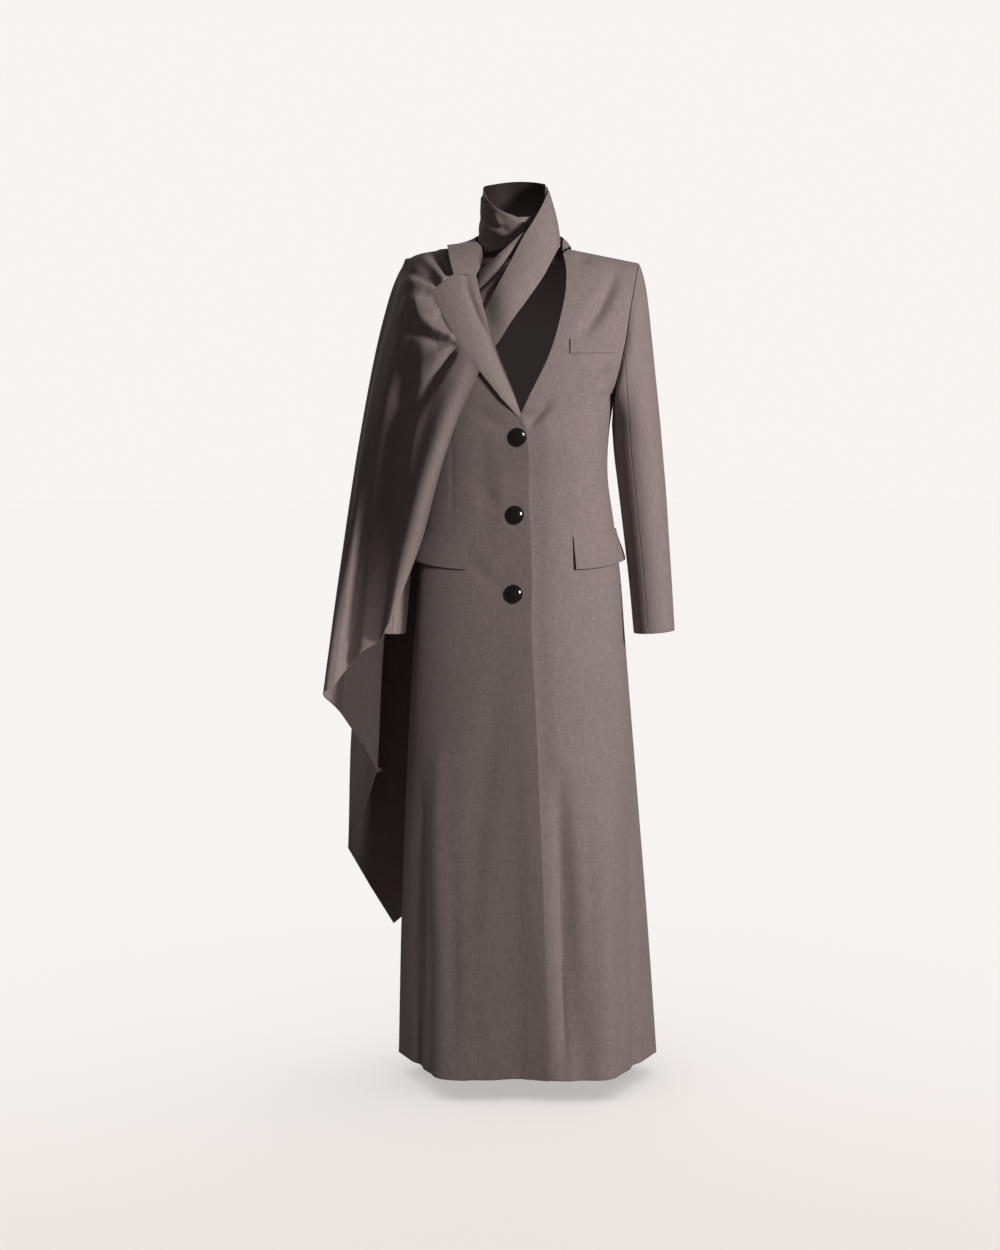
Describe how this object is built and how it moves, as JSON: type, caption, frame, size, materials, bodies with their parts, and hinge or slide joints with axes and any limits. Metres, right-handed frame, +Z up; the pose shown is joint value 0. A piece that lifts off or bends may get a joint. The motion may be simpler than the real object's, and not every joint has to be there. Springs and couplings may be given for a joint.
{
  "type": "long coat",
  "caption": "Ankle-length single-breasted tailored coat with one notched lapel, domed buttons, flap pockets and an attached stole that wraps the neck and falls over one arm as a cape",
  "frame": {"origin": "on the body's axis at the base of the neck, level with the points where the shoulder seams meet the neck: there the wearer's shoulders carry the coat", "axes": "+Z up along the body, -Y the way the coat faces, +X the wearer's left"},
  "size_m": [0.5745, 0.3607, 1.4472],
  "materials": {
    "suiting": "matte, faint woven slubs",
    "lining": "soft sheen",
    "button": "gloss"
  },
  "bodies": {
    "root": {"front_right": "suiting", "front_left": "suiting", "back": "suiting", "sleeve_left_upper": "suiting", "sleeve_left_under": "suiting", "sleeve_right_upper": "suiting", "sleeve_right_under": "suiting", "lapel": "suiting", "collar": "suiting", "flap_left": "suiting", "flap_right": "suiting", "breast_welt": "suiting", "stole_inner_turn": "suiting", "stole_outer_turn": "suiting", "stole_band": "suiting", "stole_fold_1": "suiting", "stole_fold_2": "suiting", "stole_cape": "suiting", "back_lining": "lining", "button_1": "button", "button_2": "button", "button_3": "button"}
  },
  "joints": []
}
